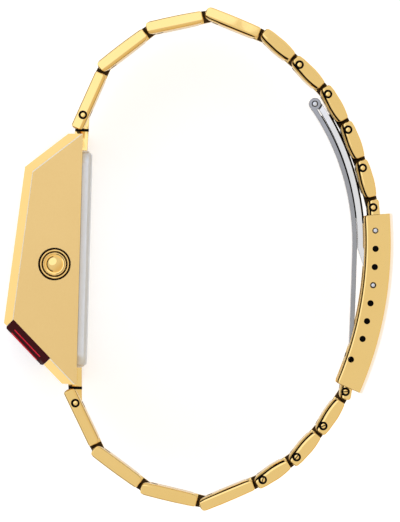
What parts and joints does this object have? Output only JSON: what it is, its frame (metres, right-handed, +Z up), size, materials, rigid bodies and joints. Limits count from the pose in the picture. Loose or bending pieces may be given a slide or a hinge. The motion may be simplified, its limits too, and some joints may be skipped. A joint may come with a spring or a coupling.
{
  "type": "led watch",
  "caption": "Wristwatch with a slanted light-emitting display window, a side button, a hinged link bracelet and a fold-over clasp.",
  "frame": {"origin": "on the ground under the middle of the closed bracelet loop, with the watch lying on its side", "axes": "+X from the case to the clasp, +Y from 6 to 12 o'clock, +Z up along the hinge pins to the button's side"},
  "size_m": [0.0617, 0.08, 0.031],
  "materials": {
    "gold_brushed": "gold-plated steel, satin brushed",
    "gold_polished": "gold-plated steel, polished",
    "steel_brushed": "stainless steel, satin brushed",
    "steel_polished": "stainless steel, polished",
    "red_window": "dark red filter, polished",
    "display_carrier": "dark red moulded display",
    "black_plastic": "black moulded nylon",
    "green_board": "green circuit laminate",
    "cell_steel": "nickel-plated cell cans",
    "contact_brass": "spring brass",
    "black_rubber": "black rubber"
  },
  "bodies": {
    "case": {"case_shell": "gold_brushed", "window": "red_window", "led_display": "display_carrier", "module_holder": "black_plastic", "power_cells": "cell_steel", "cell_contact": "contact_brass", "circuit_board": "green_board", "back_plate": "steel_brushed", "back_gasket": "black_rubber", "button_tube": "gold_polished", "button_spring": "steel_polished", "upper_end_piece": "gold_brushed", "lower_end_piece": "gold_brushed"},
    "button": {"button": "gold_polished", "button_clip": "steel_polished"},
    "upper_1": {"upper_link_1": "gold_brushed"},
    "upper_2": {"upper_link_2": "gold_brushed"},
    "upper_3": {"upper_link_3": "gold_brushed"},
    "upper_4": {"upper_link_4": "gold_brushed"},
    "upper_5": {"upper_link_5": "gold_brushed"},
    "upper_6": {"upper_link_6": "gold_brushed"},
    "upper_7": {"upper_link_7": "gold_brushed"},
    "upper_8": {"upper_link_8": "gold_brushed"},
    "upper_9": {"upper_link_9": "gold_brushed"},
    "upper_10": {"upper_link_10": "gold_brushed"},
    "clasp_cover": {"clasp_cover": "gold_brushed", "adjuster_bar": "steel_polished", "cover_hinge_pin": "steel_polished"},
    "outer_blade": {"outer_blade": "steel_brushed"},
    "inner_blade": {"inner_blade": "steel_brushed", "fold_hinge_pin": "steel_polished", "latch_bar": "steel_polished"},
    "lower_8": {"lower_link_8": "gold_brushed"},
    "lower_7": {"lower_link_7": "gold_brushed"},
    "lower_6": {"lower_link_6": "gold_brushed"},
    "lower_5": {"lower_link_5": "gold_brushed"},
    "lower_4": {"lower_link_4": "gold_brushed"},
    "lower_3": {"lower_link_3": "gold_brushed"},
    "lower_2": {"lower_link_2": "gold_brushed"},
    "lower_1": {"lower_link_1": "gold_brushed"}
  },
  "joints": [
    {"name": "upper_hinge_1", "type": "hinge", "parent": "case", "child": "upper_1", "pos_m": [-0.01904, 0.02239, 0.0155], "axis": [0, 0, 1], "range_deg": [0, 22.57]},
    {"name": "upper_hinge_2", "type": "hinge", "parent": "upper_1", "child": "upper_2", "pos_m": [-0.01562, 0.03061, 0.0155], "axis": [0, 0, 1], "range_deg": [0, 28.57]},
    {"name": "upper_hinge_3", "type": "hinge", "parent": "upper_2", "child": "upper_3", "pos_m": [-0.00815, 0.03663, 0.0155], "axis": [0, 0, 1], "range_deg": [0, 25.57]},
    {"name": "upper_hinge_4", "type": "hinge", "parent": "upper_3", "child": "upper_4", "pos_m": [0.00119, 0.03884, 0.0155], "axis": [0, 0, 1], "range_deg": [0, 34.07]},
    {"name": "upper_hinge_5", "type": "hinge", "parent": "upper_4", "child": "upper_5", "pos_m": [0.01017, 0.03543, 0.0155], "axis": [0, 0, 1], "range_deg": [0, 19.07]},
    {"name": "upper_hinge_6", "type": "hinge", "parent": "upper_5", "child": "upper_6", "pos_m": [0.01516, 0.03127, 0.0155], "axis": [0, 0, 1], "range_deg": [0, 4.57]},
    {"name": "upper_hinge_7", "type": "hinge", "parent": "upper_6", "child": "upper_7", "pos_m": [0.0198, 0.02672, 0.0155], "axis": [0, 0, 1], "range_deg": [0, 14.57]},
    {"name": "upper_hinge_8", "type": "hinge", "parent": "upper_7", "child": "upper_8", "pos_m": [0.02315, 0.02115, 0.0155], "axis": [0, 0, 1], "range_deg": [0, 8.57]},
    {"name": "upper_hinge_9", "type": "hinge", "parent": "upper_8", "child": "upper_9", "pos_m": [0.02564, 0.01514, 0.0155], "axis": [0, 0, 1], "range_deg": [0, 6.07]},
    {"name": "upper_hinge_10", "type": "hinge", "parent": "upper_9", "child": "upper_10", "pos_m": [0.02747, 0.00891, 0.0155], "axis": [0, 0, 1], "range_deg": [0, 9.57]},
    {"name": "adjuster_hinge", "type": "hinge", "parent": "upper_10", "child": "clasp_cover", "pos_m": [0.02791, 0.00523, 0.0155], "axis": [0, 0, 1], "range_deg": [0, 6]},
    {"name": "clasp_fold", "type": "hinge", "parent": "clasp_cover", "child": "outer_blade", "pos_m": [0.02777, -0.00346, 0.0155], "axis": [0, 0, 1], "range_deg": [0, 130]},
    {"name": "blade_fold", "type": "hinge", "parent": "outer_blade", "child": "inner_blade", "pos_m": [0.0178, 0.02514, 0.0155], "axis": [0, 0, -1], "range_deg": [0, 130]},
    {"name": "latch_hinge", "type": "hinge", "parent": "inner_blade", "child": "lower_8", "pos_m": [0.02455, -0.01535, 0.0155], "axis": [0, 0, 1], "range_deg": [0, 4.5]},
    {"name": "lower_hinge_8", "type": "hinge", "parent": "lower_8", "child": "lower_7", "pos_m": [0.02383, -0.0205, 0.0155], "axis": [0, 0, 1], "range_deg": [0, 23.57]},
    {"name": "lower_hinge_7", "type": "hinge", "parent": "lower_7", "child": "lower_6", "pos_m": [0.02044, -0.02604, 0.0155], "axis": [0, 0, 1], "range_deg": [0, 7.57]},
    {"name": "lower_hinge_6", "type": "hinge", "parent": "lower_6", "child": "lower_5", "pos_m": [0.01634, -0.03108, 0.0155], "axis": [0, 0, 1], "range_deg": [0, 15.57]},
    {"name": "lower_hinge_5", "type": "hinge", "parent": "lower_5", "child": "lower_4", "pos_m": [0.01103, -0.03484, 0.0155], "axis": [0, 0, 1], "range_deg": [0, 11.07]},
    {"name": "lower_hinge_4", "type": "hinge", "parent": "lower_4", "child": "lower_3", "pos_m": [0.00228, -0.03879, 0.0155], "axis": [0, 0, 1], "range_deg": [0, 36.07]},
    {"name": "lower_hinge_3", "type": "hinge", "parent": "lower_3", "child": "lower_2", "pos_m": [-0.00711, -0.03683, 0.0155], "axis": [0, 0, 1], "range_deg": [0, 23.07]},
    {"name": "lower_hinge_2", "type": "hinge", "parent": "lower_2", "child": "lower_1", "pos_m": [-0.01499, -0.03134, 0.0155], "axis": [0, 0, 1], "range_deg": [0, 28.07]},
    {"name": "button_press", "type": "slide", "parent": "case", "child": "button", "axis": [0, 0, -1], "range_m": [0, 0.0008], "stiffness_N_per_m": 300, "springref_m": -0.0005, "deforming": ["button_spring"]}
  ],
  "couplings": [
    {"joint": "blade_fold", "follows": "clasp_fold", "ratio": 1}
  ]
}
